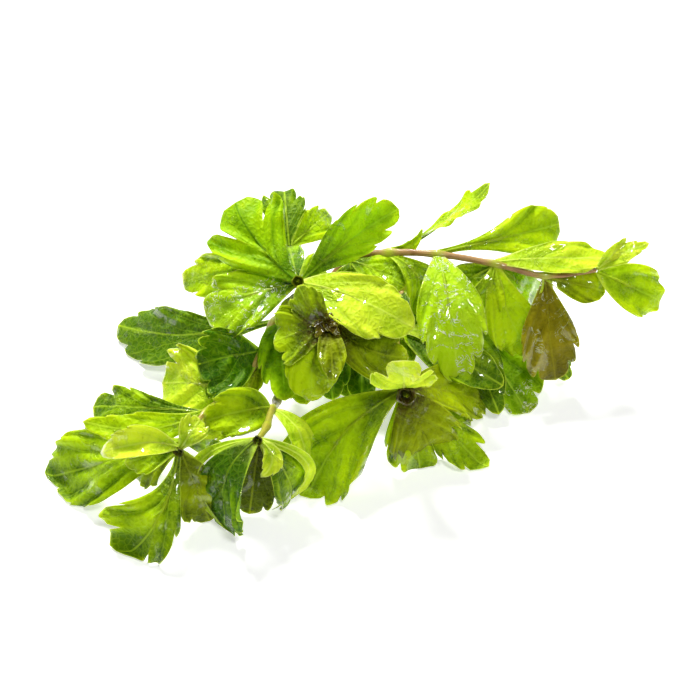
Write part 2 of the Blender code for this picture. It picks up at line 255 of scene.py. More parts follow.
stem(
    "main_stem",
    [(60, 26, 1.6), (46, 31, 8), (33, 33.5, 15), (19, 31, 20), (4, 25.5, 24), (-11, 20, 27)],
    1.9,
    1.8,
)
stem(
    "right_shoot",
    [(0, 27.5, 37), (14, 25, 42), (30.5, 20.5, 45), (50, 16.5, 44), (67, 12.5, 42), (85, 14.5, 43)],
    1.5,
    0.9,
    grows_from=("main_stem", 5),
)
stem(
    "crown_shoot",
    [(-17, 13, 37), (-17.5, 6, 44), (-17.5, 2, 48)],
    1.4,
    1.0,
    grows_from=("main_stem", 5),
    youth=0.6,
)
stem("back_shoot", [(-19, 31, 31), (-22, 38, 34)], 1.4, 1.0, grows_from=("main_stem", 5), youth=0.5)
stem(
    "centre_shoot",
    [(-4, 8, 31), (-7, -13, 43.5), (-7.5, -18, 46)],
    1.4,
    1.0,
    grows_from=("main_stem", 4),
    youth=0.4,
)
stem(
    "front_shoot",
    [(16, 7, 21), (17.5, -23, 26), (18, -29, 28)],
    1.4,
    1.0,
    grows_from=("main_stem", 3),
    youth=0.4,
)
stem(
    "left_shoot",
    [
        (-26, 5.5, 27),
        (-30, -9, 26),
        (-38.5, -22.5, 22),
        (-48, -34.5, 22),
        (-53.5, -50, 25),
        (-54.5, -56, 27),
    ],
    1.5,
    1.0,
    grows_from=("main_stem", 5),
    youth=0.3,
)
stem(
    "near_shoot",
    [(-23, 3, 15), (-25, -18, 12), (-26, -32.5, 22), (-27, -46.5, 28), (-29, -56, 32)],
    1.4,
    1.0,
    grows_from=("left_shoot", 1),
    youth=0.5,
)


# The leaves of the right shoot. A leaf is one soft wet blade, a third of a millimetre thick, narrow
# where it leaves its node and lobed like an oak's in its outer half. Its side veins run forward into
# the lobes, and the blade swells up a little between them.

ROWS, HALF_COLUMNS = 49, 25
STALK_HALF_WIDTH = 1.0
# Each kind's notches, from its shoulder to its tip: place along the blade, and depth as a share of half
# the width.
NOTCHES = {
    "oak": ((0.45, 0.22), (0.64, 0.34), (0.86, 0.36)),
    "round": ((0.50, 0.34), (0.84, 0.40)),
    "young": ((0.62, 0.24), (0.86, 0.24)),
    "smooth": ((0.68, 0.05), (0.90, 0.06)),
    "blunt": ((0.55, 0.12), (0.74, 0.22), (0.92, 0.26)),
}
UNEVEN = 0.7, 1.3
FIRST_LOBE, LOBE_POWER, NOTCH_SLANT = 0.13, 0.35, 0.9
# The blade reaches a little past its stiff stand-in's margin and tip.
FULLER, LONGER = 1.05, 1.03
LAST_BRANCH, FORWARD_SWEEP, BRANCH_SPREAD = 0.6, 0.6, 0.5
WEDGE, BLUNT = 1.2, 0.5
WIDEST_AT, WIDEST_SHIFT = 0.48, 0.05
# The stalk ends at the first share of the length, and the blade's waves come in over the second.
STALK_END, WAVES_COME_IN = 0.2, 0.35
# The band along the margin that waves, and the heights of waves, swings and swellings, as shares of the
# width; the rumple's height is in millimetres, and so are its waves' lengths.
EDGE_BAND, EDGE_WAVE, SWING, SWELLING = 0.17, 0.06, 0.02, 0.06
RUMPLE, RUMPLE_WAVES, RUMPLE_LENGTHS = 0.12, 5, (5, 9)
# A leaf on the table: its height, how much higher its margin is, and how softly it bends to lie flat.
RESTING, MARGIN_RESTING, SOFTNESS = 0.35, 0.5, 0.5
# In millimetres: half the blade's thickness, what the stalk adds to it, the midrib's height at the foot
# and at the tip, the side veins' height, and the depth of the groove over the midrib.
SKIN_HALF, STALK_HALF = 0.13, 0.35
RIB_AT_FOOT, RIB_AT_TIP, SIDE_RIB, GROOVE = 0.75, 0.10, 0.10, 0.14
# Painted shade deepening the green on the stalk and in hollows, and how far the brown reaches from the
# node.
STALK_PAINTED_SHADE, HOLLOW_PAINTED_SHADE, HEART_REACH = 0.45, 0.3, 9
# The brown of a leaf's heart, and the white of the painted glint lines at the water film's edge.
HEART_BROWN, PAINTED_GLINT_WHITE = (0.06, 0.034, 0.004, 1), (0.90, 1.0, 0.72, 1)
# How fine each pattern in the tissue is.
WOBBLE_SCALE, NET_SCALE, PATCH_SCALE, FLECK_SCALE, STREAK_SCALE = 160.0, 26.0, 45.0, 520.0, 650.0
FILM_SCALE, BEAD_SCALE, CREASE_SCALE, FOLD_SCALE, CRINKLE_SCALE = 85.0, 430.0, 250.0, 330.0, 1100.0


def leaf_tissue():
    """The pattern that all leaves share, as a node group. Veins are lines along the midrib, along the
    whole numbers of the mark that counts the side veins, and round the cells of a fine net. Patches
    of deeper green, painted shade beside the veins, near the table, on the stalk and in hollows, a pale
    rim, a brown heart, wet places and painted white glint lines lie over the blade's colour."""
    tree = bpy.data.node_groups.new("leaf_tissue", "ShaderNodeTree")
    for socket in ("Blade", "Shade", "Vein", "Rim", "Heart"):
        tree.interface.new_socket(socket, in_out="INPUT", socket_type="NodeSocketColor")
    for socket in ("Vein Strength", "Wetness"):
        tree.interface.new_socket(socket, in_out="INPUT", socket_type="NodeSocketFloat")
    tree.interface.new_socket("Color", in_out="OUTPUT", socket_type="NodeSocketColor")
    for socket in ("Roughness", "Water", "Height"):
        tree.interface.new_socket(socket, in_out="OUTPUT", socket_type="NodeSocketFloat")
    given = tree.nodes.new("NodeGroupInput").outputs
    result = tree.nodes.new("NodeGroupOutput").inputs

    def times(a, b):
        return calc(tree, "MULTIPLY", a, b)

    def minus(a, b):
        return calc(tree, "SUBTRACT", a, b)

    def plus(*values):
        return functools.reduce(lambda a, b: calc(tree, "ADD", a, b), values)

    def greatest(*values):
        return functools.reduce(lambda a, b: calc(tree, "MAXIMUM", a, b), values)

    def distance(a, b):
        return calc(tree, "ABSOLUTE", minus(a, b))

    place = add_node(tree, "TexCoord").outputs["Object"]
    surface = add_node(tree, "UVMap", uv_map="surface").outputs[0]
    over_blade = add_node(tree, "SeparateXYZ", {0: surface}).outputs[1]
    above_table = add_node(tree, "SeparateXYZ", {0: place}).outputs[2]
    edge = mark_of(tree, "edge")

    # The midrib, the side veins, which wobble a little, and the fine net between them.
    wobble = times(minus(noise(tree, place, WOBBLE_SCALE), 0.5), 0.35)
    rank = plus(mark_of(tree, "rank"), wobble)
    off_vein = distance(calc(tree, "FRACT", plus(rank, 0.5)), 0.5)
    midrib = ramp(tree, times(distance(over_blade, 0.5), UV_SPAN), 0.16, 0.50, 1.0, 0.0)
    branch = times(ramp(tree, off_vein, 0.012, 0.055, 1.0, 0.0), ramp(tree, edge, 0.4, 3.0, 0.2, 1.0))
    net = add_node(tree, "TexVoronoi", {"Vector": surface, "Scale": NET_SCALE}, feature="DISTANCE_TO_EDGE")
    cell = net.outputs["Distance"]
    thread = ramp(tree, cell, 0.02, 0.11, 1.0, 0.0)
    vein = greatest(midrib, times(branch, 0.5), times(thread, 0.25))

    # The green is deeper in patches and flecks and by the leaf's tone mark. Beside the side veins and
    # near the table it is darker as painted shade, and the tone mark carries painted shade too.
    patch = ramp(tree, noise(tree, place, PATCH_SCALE, 3.0), 0.36, 0.66, 0.0, 0.45)
    fleck = ramp(tree, noise(tree, place, FLECK_SCALE, 3.0, 0.7), 0.35, 0.75, 0.0, 0.25)
    beside = ramp(tree, off_vein, 0.03, 0.26, 0.2, 0.0)
    low = ramp(tree, above_table, 0.001, 0.024, 0.6, 0.0)
    shade = plus(patch, fleck, beside, mark_of(tree, "tone_and_painted_shade"), low)
    streak = ramp(tree, noise(tree, place, STREAK_SCALE, 2.0, 0.6, 0.8), 0.35, 0.65, 0.7, 1.4)
    colour = mixed(tree, shade, given["Blade"], given["Shade"])
    colour = mixed(tree, times(vein, given["Vein Strength"]), colour, given["Vein"])
    colour = mixed(tree, ramp(tree, edge, 0.05, 0.55, 0.8, 0.0), colour, given["Rim"])
    colour = mixed(tree, times(mark_of(tree, "heart"), streak), colour, given["Heart"])

    # Water lies in patches as a crinkled film with a raised edge, and as small drops between them. Fine
    # white lines along the film's edge are a painted glint, which also stands up a little.
    spread = noise(tree, place, FILM_SCALE, 3.0, 0.6, 0.6)
    shore = minus(0.66, times(given["Wetness"], 0.15))
    film = ramp(tree, minus(spread, shore), 0.0, 0.02)
    beads = add_node(tree, "TexVoronoi", {"Vector": place, "Scale": BEAD_SCALE, "Randomness": 1.0})
    few = ramp(tree, add_node(tree, "SeparateColor", {0: beads.outputs["Color"]}).outputs[0], 0.80, 0.84)
    bead = times(ramp(tree, beads.outputs["Distance"], 0.10, 0.24, 1.0, 0.0), few)
    wet = greatest(film, bead)
    crease = distance(noise(tree, place, CREASE_SCALE, 1.5, 0.5, 2.5), 0.5)
    by_shore = ramp(tree, distance(spread, shore), 0.01, 0.05, 1.0, 0.0)
    painted_glint = times(by_shore, ramp(tree, crease, 0.01, 0.04, 1.0, 0.0))
    painted_glint = times(painted_glint, ramp(tree, given["Wetness"], 0.65, 1.0))
    tree.links.new(mixed(tree, painted_glint, colour, PAINTED_GLINT_WHITE), result["Color"])
    tree.links.new(minus(0.52, times(wet, 0.40)), result["Roughness"])
    tree.links.new(wet, result["Water"])

    # The net's cells and small folds stand up, water lies on top, and veins are sunk in.
    ridges = {"Vector": place, "Scale": FOLD_SCALE, "Detail": 3.0, "Distortion": 1.2}
    fold = add_node(tree, "TexNoise", ridges, noise_type="RIDGED_MULTIFRACTAL").outputs["Fac"]
    crinkle = times(noise(tree, place, CRINKLE_SCALE, 2.0, 0.6, 1.5), film)
    dome = ramp(tree, cell, 0.0, 0.45)
    raised = (dome, 0.4), (fold, 0.35), (crinkle, 0.9), (film, 0.25), (bead, 0.8), (painted_glint, 0.5)
    height = plus(*(times(what, share) for what, share in raised))
    tree.links.new(minus(height, times(vein, 0.25)), result["Height"])
    return tree


LEAF_TISSUE = leaf_tissue()


def leaf_skin(name, blade, shade, vein, rim, vein_strength, wetness):
    """A leaf's material: the colours of its blade, of the deeper green, of its veins and its rim, and
    how clear the veins and how wet the surface are."""
    material, tree, shader = new_skin(name, 0.5, 0.45, (0.9, 1.0, 0.25))
    shader.inputs["Specular IOR Level"].default_value = 0.35
    shader.inputs["Specular Tint"].default_value = (0.9, 1.0, 0.2, 1)
    shader.inputs["Coat Roughness"].default_value = 0.05
    tissue = tree.nodes.new("ShaderNodeGroup")
    tissue.node_tree = LEAF_TISSUE
    for socket, colour in {"Blade": blade, "Shade": shade, "Vein": vein, "Rim": rim}.items():
        tissue.inputs[socket].default_value = (*colour, 1)
    tissue.inputs["Heart"].default_value = HEART_BROWN
    tissue.inputs["Vein Strength"].default_value = vein_strength
    tissue.inputs["Wetness"].default_value = wetness
    tree.links.new(tissue.outputs["Color"], shader.inputs["Base Color"])
    tree.links.new(tissue.outputs["Roughness"], shader.inputs["Roughness"])
    tree.links.new(tissue.outputs["Water"], shader.inputs["Coat Weight"])
    height = tissue.outputs["Height"]
    bump = add_node(tree, "Bump", {"Strength": 0.8, "Distance": 0.0005, "Height": height})
    tree.links.new(bump.outputs[0], shader.inputs["Normal"])
    return material


FRESH = leaf_skin(
    "fresh_wet_leaf",
    (0.50, 0.73, 0.002), (0.055, 0.14, 0.0), (0.56, 0.78, 0.04), (0.60, 0.80, 0.06), 0.50, 0.7,
)
VEINED = leaf_skin(
    "veined_wet_leaf",
    (0.44, 0.72, 0.002), (0.06, 0.20, 0.0), (0.07, 0.22, 0.001), (0.20, 0.40, 0.01), 0.65, 0.4,
)
DEEP = leaf_skin(
    "deep_green_wet_leaf",
    (0.40, 0.70, 0.002), (0.03, 0.12, 0.0), (0.46, 0.76, 0.03), (0.52, 0.78, 0.05), 0.45, 0.68,
)
GLOSSY = leaf_skin(
    "glossy_wet_leaf",
    (0.45, 0.72, 0.004), (0.045, 0.15, 0.0), (0.56, 0.78, 0.06), (0.62, 0.82, 0.09), 0.55, 1.0,
)
OLIVE = leaf_skin(
    "olive_wet_leaf",
    (0.40, 0.52, 0.001), (0.055, 0.085, 0.0), (0.46, 0.56, 0.02), (0.50, 0.66, 0.03), 0.45, 0.7,
)
BROWN = leaf_skin(
    "brown_wet_leaf",
    (0.32, 0.27, 0.003), (0.09, 0.075, 0.001), (0.36, 0.34, 0.01), (0.45, 0.48, 0.03), 0.40, 0.8,
)
PALE = leaf_skin(
    "pale_young_leaf",
    (0.68, 0.88, 0.03), (0.30, 0.48, 0.002), (0.72, 0.88, 0.12), (0.72, 0.90, 0.16), 0.55, 0.7,
)


def half_width(along, width, widest, wedge, stalk):
    """Half a blade's width without its notches: a wedge up to its widest place, and a blunt end."""
    widest = widest + WIDEST_SHIFT
    swell = np.sin(np.pi * along ** (math.log(0.5) / math.log(widest))).clip(0, 1)
    return (width / 2 - stalk) * swell ** np.where(along < widest, wedge, BLUNT)


def bezier(knots, t):
    """The points of a cubic Bezier curve at t, and its unit tangents there."""
    points = sum(c * (1 - t) ** (3 - i) * t**i * knots[i] for i, c in enumerate((1, 3, 3, 1)))
    slopes = sum(c * (1 - t) ** (2 - i) * t**i * (knots[i + 1] - knots[i]) for i, c in enumerate((1, 2, 1)))
    return points, unit(slopes)


def leaf(
    name,
    stem_name,
    node,
    tip,
    faces,
    width,
    kind="oak",
    arch=0.12,
    lean=0.0,
    bow=0.0,
    cup=20,
    twist=0,
    widest=WIDEST_AT,
    wedge=WEDGE,
    lop=0.0,
    cut=1.0,
    stalk=STALK_HALF_WIDTH,
    skin=FRESH,
    tone_and_painted_shade=0.0,
    heart=0.0,
    new=False,
):
    """One leaf on a stem's node. Its plan is a fan: columns run from the stalk along the midrib, bend
    away from it one after another as side veins do, and end at the margin, where 'count' numbers the
    lobes from the blade's shoulder to its tip; each column is cut short by the root of a cosine of the
    count, whose zeros are the notches. The plan is bent over the midrib, which is the cubic Bezier
    curve from stem to tip, raised by arch towards the face and by bow to the left, as shares of the
    chord: a step to the side follows an arc of cup degrees, and a lift adds waves that grow towards
    the margin, a rumple, and swellings between the side veins. The two skins lie each side of that
    surface, thicker at the ribs.
    Faces is the heading and the rise that the blade looks along. Lean moves the arch to the foot, twist
    turns the blade about its midrib, wedge hollows its shoulders, lop widens its left side, cut deepens
    its notches, the tone darkens it, partly its own deeper green and partly painted shade, and heart
    browns it. A new leaf takes no other's place."""
    home = STEMS[stem_name]
    tip = np.array(tip, float)
    chord = tip - home.nodes[node]
    facing = square_to(direction(*faces), unit(chord))
    leaving = chord / 3 + facing * arch * (1 + lean) * np.linalg.norm(chord) * 4 / 3
    foot = home.under_skin(node, leaving)
    chord = tip - foot
    size = np.linalg.norm(chord)
    left = np.cross(facing, unit(chord))
    push = (facing * arch + left * bow) * size * 4 / 3
    knots = foot, foot + chord / 3 + push * (1 + lean), tip - chord / 3 + push * (1 - lean), tip

    rows, columns = (ROWS, HALF_COLUMNS) if kind != "young" else (ROWS // 2 + 1, HALF_COLUMNS // 2 + 1)
    places, depths = zip(*NOTCHES[kind])
    lobes = len(places)
    row = np.linspace(0, 1, rows)[:, None]
    half = np.linspace(0, lobes, columns)
    count = np.concatenate([half, half[-2::-1]])[None]
    sign = np.repeat([-1.0, 1.0], [columns, columns - 1])[None]
    fan = sign * (1 - count / lobes)
    shoulder = places[0] - FIRST_LOBE
    at = np.interp(count, [0, *np.arange(0.5, lobes), lobes], [shoulder, *places, 1])
    # No leaf's two margins are notched equally deep.
    draw = random.Random(name)
    deep = [[cut * depth * draw.uniform(*UNEVEN) for depth in depths] for _ in range(2)]
    depth = np.where(sign < 0, np.interp(at, places, deep[0]), np.interp(at, places, deep[1]))
    whole = FULLER * width * (1 + sign * lop)
    out_to = half_width(at, whole, widest, wedge, stalk)
    along_to = LONGER * at + FORWARD_SWEEP * out_to * (1 - at**2) / size
    notch = depth * (1 - np.abs(np.cos(np.pi * count)) ** LOBE_POWER)
    run = row * (1 - NOTCH_SLANT * notch * width / 2 / np.hypot(along_to * size, out_to))
    leaves_at = LAST_BRANCH * count / lobes
    gone = ((run - leaves_at) / (1 - leaves_at)).clip(0, 1)
    flare = half_width(gone * shoulder, width, widest, wedge, stalk)
    flare = flare / half_width(shoulder, width, widest, wedge, stalk)
    along = run * along_to
    reach = sign * out_to * flare + fan * stalk * (1 - run * (1 - np.abs(fan)))
    beside = (BRANCH_SPREAD * size * (at - shoulder) + 0.3) * run + stalk * (1 - np.abs(fan)) * (1 - run)
    edge = np.minimum((1 - row) * along_to * size, beside)
    near_edge = np.exp(-edge / (EDGE_BAND * width))
    side = 2 * reach / width
    outer = np.clip((along - STALK_END) / WAVES_COME_IN, 0, 1)

    t = along[..., None]
    midrib, tangent = bezier(knots, t)
    sideways = unit(left - (tangent @ left)[..., None] * tangent)
    turn = np.radians(twist) * (t - WIDEST_AT)
    sideways = sideways * np.cos(turn) + np.cross(tangent, sideways) * np.sin(turn)
    upwards = np.cross(tangent, sideways)

    # The last of the six isn't used, but the draws after it depend on it.
    phases = [draw.uniform(0, 2 * math.pi) for _ in range(6)]
    wave_left, wave_right = (np.sin(waves * math.pi * at + phase) for waves, phase in zip((6, 6.6), phases))
    edge_wave = np.where(sign < 0, wave_left, wave_right) * np.abs(fan) ** 0.4
    edge_wave = edge_wave + 0.5 * np.sin(13 * math.pi * at + phases[2] + 2 * fan)
    swing = np.sin(2.4 * math.pi * along + 2.2 * side + phases[3])
    swing = swing + np.sin(3.1 * math.pi * along - 3 * side + phases[4])
    rumple = 0
    for _ in range(RUMPLE_WAVES):
        angle, span, shift = draw.uniform(0, 3.1), draw.uniform(*RUMPLE_LENGTHS), draw.uniform(0, 6.3)
        run_of_wave = reach * math.cos(angle) + along * size * math.sin(angle)
        rumple = rumple + np.sin(2 * math.pi * run_of_wave / span + shift)
    swollen = np.sin(math.pi * count) ** 2 * (1 - near_edge) * np.abs(side)
    waves = width * (EDGE_WAVE * near_edge * edge_wave + SWING * swing + SWELLING * swollen)
    raised = outer * (RUMPLE * rumple + waves)
    bend = math.radians(max(cup, 1)) / width
    out = np.sin(bend * reach) / bend
    lift = raised + (1 - np.cos(bend * reach)) / bend
    points = midrib + sideways * out[..., None] + upwards * lift[..., None]
    # Where the leaf meets the table it is pressed flat, and its margin stays a little off it.
    rest = RESTING + MARGIN_RESTING * near_edge * (1 + edge_wave * 0.5)
    points[..., 2] = rest + SOFTNESS * np.logaddexp(0, (points[..., 2] - rest) / SOFTNESS)

    normal = unit(np.cross(np.gradient(points, axis=0), np.gradient(points, axis=1)))
    rib = RIB_AT_FOOT * (1 - along).clip(0, 1) ** 1.3 + RIB_AT_TIP
    rib = rib * np.exp(-((reach / (0.75 - 0.35 * along)) ** 2))
    off_vein = np.abs((count + 0.5) % 1 - 0.5)
    rib = rib + SIDE_RIB * np.exp(-((off_vein / 0.07) ** 2)) * (1 - near_edge) * outer
    thin = SKIN_HALF * (1 - 0.6 * near_edge) + STALK_HALF * (1 - outer) * (1 - along) * (1 - np.abs(fan))
    groove = GROOVE * np.exp(-((reach / 0.35) ** 2)) * outer
    top = points + normal * (thin - groove)[..., None]
    bottom = points - normal * (thin + rib)[..., None]
    bottom[..., 2] = np.maximum(bottom[..., 2], TABLE_GAP)
    rings = np.concatenate([top, bottom[:, ::-1]], 1)

    def round_both(values):
        values = np.broadcast_to(values, along.shape)
        return np.concatenate([values, values[:, ::-1]], 1)

    uv = np.stack([round_both(along * size / UV_SPAN), round_both(0.5 + reach / UV_SPAN)], -1)
    # Hollows and the stalk are darkened through the tone mark as painted shade.
    hollow = -np.clip(raised / (EDGE_WAVE * width), -1, 1)
    marks = {
        "rank": count,
        "edge": edge,
        "tone_and_painted_shade": tone_and_painted_shade + STALK_PAINTED_SHADE * (1 - outer) + HOLLOW_PAINTED_SHADE * hollow,
        "heart": heart * np.exp(-((along * size / HEART_REACH) ** 1.5)),
    }
    marks = {mark: round_both(values) for mark, values in marks.items()}
    piece = closed_skin(name + "_blade", rings, skin, uv, **marks)
    if new:
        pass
    else:
        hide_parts(name)


leaf("right_leaf_1", "right_shoot", 1, (0, 19, 32), (-90, 20), 11, "young")
leaf("right_leaf_2", "right_shoot", 2, (48, 40, 60), (136, 55), 13, arch=-0.06, bow=0.02, twist=60)
leaf("right_leaf_3", "right_shoot", 2, (27, 17, 22), (-50, 50), 17, arch=0.3, lean=0.4, tone_and_painted_shade=-0.3)
leaf("right_leaf_4", "right_shoot", 3, (73, 36, 46), (-95, 40), 18, "smooth", bow=-0.01, widest=0.66)
leaf(
    "right_leaf_5", "right_shoot", 3, (37, -16.1, 20), (-85, 40), 24,
    arch=0.16, lean=0.4, widest=0.42, wedge=1.1, stalk=1.5, skin=GLOSSY, tone_and_painted_shade=-0.45,
)
leaf(
    "right_leaf_6", "right_shoot", 4, (90, 18.5, 44.6), (-95, 72), 13, "smooth",
    arch=0.04, stalk=1.3, skin=PALE, tone_and_painted_shade=0.15,
)
leaf(
    "right_leaf_7", "right_shoot", 4, (63, 6.5, 11.2), (-85, 35), 18, "blunt",
    arch=0.14, lean=0.4, bow=-0.06, wedge=0.9, stalk=1.5, tone_and_painted_shade=-0.4,
)
leaf(
    "right_leaf_8", "right_shoot", 5, (72, -3, 8), (-80, 30), 21,
    arch=0.12, bow=-0.04, widest=0.46, wedge=1.1, lop=-0.06, skin=BROWN,
)
leaf("right_leaf_9", "right_shoot", 5, (89, 17.5, 34), (90, 30), 10, "smooth", arch=0.08, skin=OLIVE)
leaf(
    "right_leaf_10", "right_shoot", 6, (108, 13, 30), (-80, 45), 17, "smooth",
    bow=-0.01, widest=0.46, wedge=0.8, tone_and_painted_shade=-0.2,
)
leaf("right_leaf_11", "right_shoot", 6, (101.5, 16.5, 53), (-70, 65), 7, "young", skin=PALE)
leaf("right_leaf_12", "right_shoot", 1, (19, 15, 36), (-90, 60), 16, arch=0.1, new=True)
leaf("right_leaf_13", "right_shoot", 4, (66, 20, 22), (-90, 60), 15, skin=GLOSSY, new=True)
leaf(
    "right_leaf_14", "right_shoot", 5, (63.5, 6, 31), (-60, 20), 6, "young",
    bow=0.12, wedge=0.5, skin=PALE, new=True,
)
leaf("right_leaf_15", "right_shoot", 6, (94, 18, 54), (-90, 30), 5, "young", skin=PALE, new=True)
leaf("right_leaf_16", "right_shoot", 4, (46, 6, 28), (-90, 40), 12, "young", new=True)
leaf(
    "right_leaf_17", "right_shoot", 2, (25, 28, 50), (-90, 40), 4, "young",
    arch=0.05, bow=-0.2, wedge=0.4, new=True,
)
leaf("right_leaf_18", "right_shoot", 4, (36, 16, 33), (-90, 50), 12, "smooth", tone_and_painted_shade=0.4, new=True)
leaf(
    "right_leaf_19", "right_shoot", 5, (76.5, 0, 6), (-80, 30), 13, "blunt",
    arch=0.08, bow=-0.1, new=True,
)
leaf(
    "right_leaf_20", "right_shoot", 5, (88, 11.5, 36), (-85, 50), 12, "smooth",
    arch=0.06, skin=OLIVE, new=True,
)


# The crown's leaves. Four big, broad ones grow from the tip of the crown shoot and lie over the middle
# of the plant, with three smaller ones in the shade below them.

leaf(
    "crown_leaf_1", "crown_shoot", 3, (-39, 29, 60), (-95, 40), 31, "round",
    arch=0.06, bow=0.06, widest=0.52, wedge=1.1, cut=1.5, skin=VEINED,
)
leaf(
    "crown_leaf_2", "crown_shoot", 2, (-49, -1, 36.2), (-100, 60), 23, "round",
    arch=0.132, wedge=1.0, lop=0.09, skin=GLOSSY,
)
leaf(
    "crown_leaf_3", "crown_shoot", 2, (16, 26, 60), (-60, 45), 19,
    arch=0.08, bow=0.04, cup=100, wedge=1.6, lop=0.15, skin=DEEP, tone_and_painted_shade=-0.2,
)
leaf(
    "crown_leaf_4", "crown_shoot", 3, (20, -18, 46), (-90, 65), 22, "round",
    wedge=0.8, lop=-0.1, cut=0.9, skin=PALE,
)
leaf("crown_leaf_5", "crown_shoot", 1, (-17, -12, 40), (-120, 40), 14, skin=OLIVE, heart=0.5, new=True)
leaf("crown_leaf_6", "crown_shoot", 2, (-8, 19, 38), (-90, 50), 15, "young", wedge=0.7, new=True)
leaf(
    "crown_leaf_7", "crown_shoot", 2, (-21.5, 31, 40), (-90, 50), 9, "young",
    wedge=0.7, skin=GLOSSY, tone_and_painted_shade=0.3, new=True,
)


# The back shoot's leaves. A broad one and a small one stand up at the far side, and a longer one
# reaches out to the left, half hidden by the crown's.

leaf("back_leaf_1", "back_shoot", 2, (-24, 61, 42), (-90, 60), 17, "round", lop=0.1, tone_and_painted_shade=0.8)
leaf("back_leaf_2", "back_shoot", 2, (-7.5, 55.5, 36), (-60, 50), 12, "young")
leaf("back_leaf_3", "back_shoot", 1, (-60, 33, 22), (-110, 50), 18, arch=0.14)


# The centre shoot's leaves. They are small and blunt, brown where they leave the shoot's dark heart,
# and spread to both sides and to the near side, partly under a leaf of the crown.

leaf(
    "centre_leaf_1", "centre_shoot", 3, (-24.5, -19, 40), (-100, 60), 20, "blunt",
    wedge=0.7, heart=1.0,
)
leaf(
    "centre_leaf_2", "centre_shoot", 3, (-17, -11, 57), (-120, 30), 12, "young",
    wedge=0.7, tone_and_painted_shade=0.2, heart=1.0,
)
leaf(
    "centre_leaf_3", "centre_shoot", 2, (-12.5, -31.5, 26), (-95, 30), 17, "smooth",
    arch=0.16, bow=-0.08, wedge=0.6, tone_and_painted_shade=-0.6, heart=0.6,
)
leaf(
    "centre_leaf_4", "centre_shoot", 2, (18.5, -18, 32), (-80, 60), 20, "blunt",
    arch=0.05, bow=-0.12, wedge=0.7, skin=OLIVE, tone_and_painted_shade=0.25, heart=1.0,
)
leaf(
    "centre_leaf_5", "centre_shoot", 3, (-5.5, -37, 40), (-80, 40), 9, "smooth",
    wedge=0.6, skin=OLIVE, heart=0.7,
)


# The front shoot's leaves. The biggest are broad, reach down to the table and lie flat on it at their
# tips; a pale young one stands out over the shoot's bud.

leaf(
    "front_leaf_1", "front_shoot", 3, (-15, -50, -10), (-110, 60), 29, "blunt",
    arch=0.14, bow=-0.08, wedge=1.0, lop=-0.06, tone_and_painted_shade=-0.2, heart=0.3,
)
leaf(
    "front_leaf_2", "front_shoot", 3, (27, -34, 2), (-88, 50), 25,
    arch=0.18, widest=0.40, wedge=1.0, skin=OLIVE, tone_and_painted_shade=-0.35, heart=0.9,
)
leaf("front_leaf_3", "front_shoot", 2, (46, -38, -1), (-60, 60), 18, arch=-0.03, cut=1.3, tone_and_painted_shade=-0.5)
leaf(
    "front_leaf_4", "front_shoot", 3, (47, -14, 5), (-85, 70), 20, "blunt",
    arch=0.04, bow=0.055, wedge=0.8, skin=OLIVE, tone_and_painted_shade=-0.5, heart=0.9,
)
leaf("front_leaf_5", "front_shoot", 3, (17, -40, 50), (-90, 10), 22, skin=PALE)
leaf("front_leaf_6", "front_shoot", 1, (38, 0, 16), (-90, 80), 9, "young", arch=0.25, skin=PALE)
leaf("front_leaf_7", "front_shoot", 1, (52, -4, 10), (-80, 50), 18, arch=-0.04, skin=OLIVE)
leaf(
    "front_leaf_8", "front_shoot", 1, (51, -17, 19), (-80, 50), 16, "smooth",
    arch=0.1, cup=60, tone_and_painted_shade=0.6, new=True,
)
leaf(
    "front_leaf_9", "front_shoot", 2, (24, -40, -1), (-85, 55), 22, "round",
    arch=0.08, tone_and_painted_shade=-0.5, new=True,
)


# The leaves of the main stem. A big wet one lies on the table on the right, and the others fill the
# space below the shoots, a deeper green with painted shade in their tone.

leaf(
    "low_leaf_1", "main_stem", 1, (62, -11, -1), (-80, 75), 28, "blunt",
    bow=-0.06, lop=-0.05, skin=GLOSSY, tone_and_painted_shade=-0.15,
)
leaf("low_leaf_2", "main_stem", 2, (50, 17, 22), (-60, 60), 15, "young")
leaf("low_leaf_3", "main_stem", 1, (50, 10, 10), (-90, 50), 18, skin=DEEP, tone_and_painted_shade=0.6, new=True)
leaf("low_leaf_4", "main_stem", 2, (51, -15.5, 5), (-85, 60), 17, "blunt", tone_and_painted_shade=0.2, new=True)
leaf("low_leaf_5", "main_stem", 3, (26, 17, 8), (-90, 50), 18, skin=DEEP, tone_and_painted_shade=0.6, new=True)
leaf("low_leaf_6", "main_stem", 3, (13, -3, 10), (-90, 60), 20, tone_and_painted_shade=0.4, new=True)
leaf("low_leaf_7", "main_stem", 4, (0, -9, 6), (-100, 60), 24, skin=DEEP, tone_and_painted_shade=0.3, new=True)
leaf(
    "low_leaf_8", "main_stem", 4, (4, -15, 11), (-90, 50), 22, "blunt",
    wedge=0.7, skin=DEEP, tone_and_painted_shade=0.8, new=True,
)
leaf(
    "low_leaf_9", "main_stem", 3, (28, -3, 20), (-90, 60), 18, "blunt",
    wedge=0.7, skin=GLOSSY, tone_and_painted_shade=0.2, new=True,
)
leaf(
    "low_leaf_10", "main_stem", 5, (-6, -16, 12), (-90, 50), 18, "blunt",
    wedge=0.7, skin=DEEP, tone_and_painted_shade=0.6, new=True,
)


# The left shoot's leaves. The plant's longest are here and spread over the table to the left, with
# pale young ones, cupped along the midrib, at the shoot's tip.

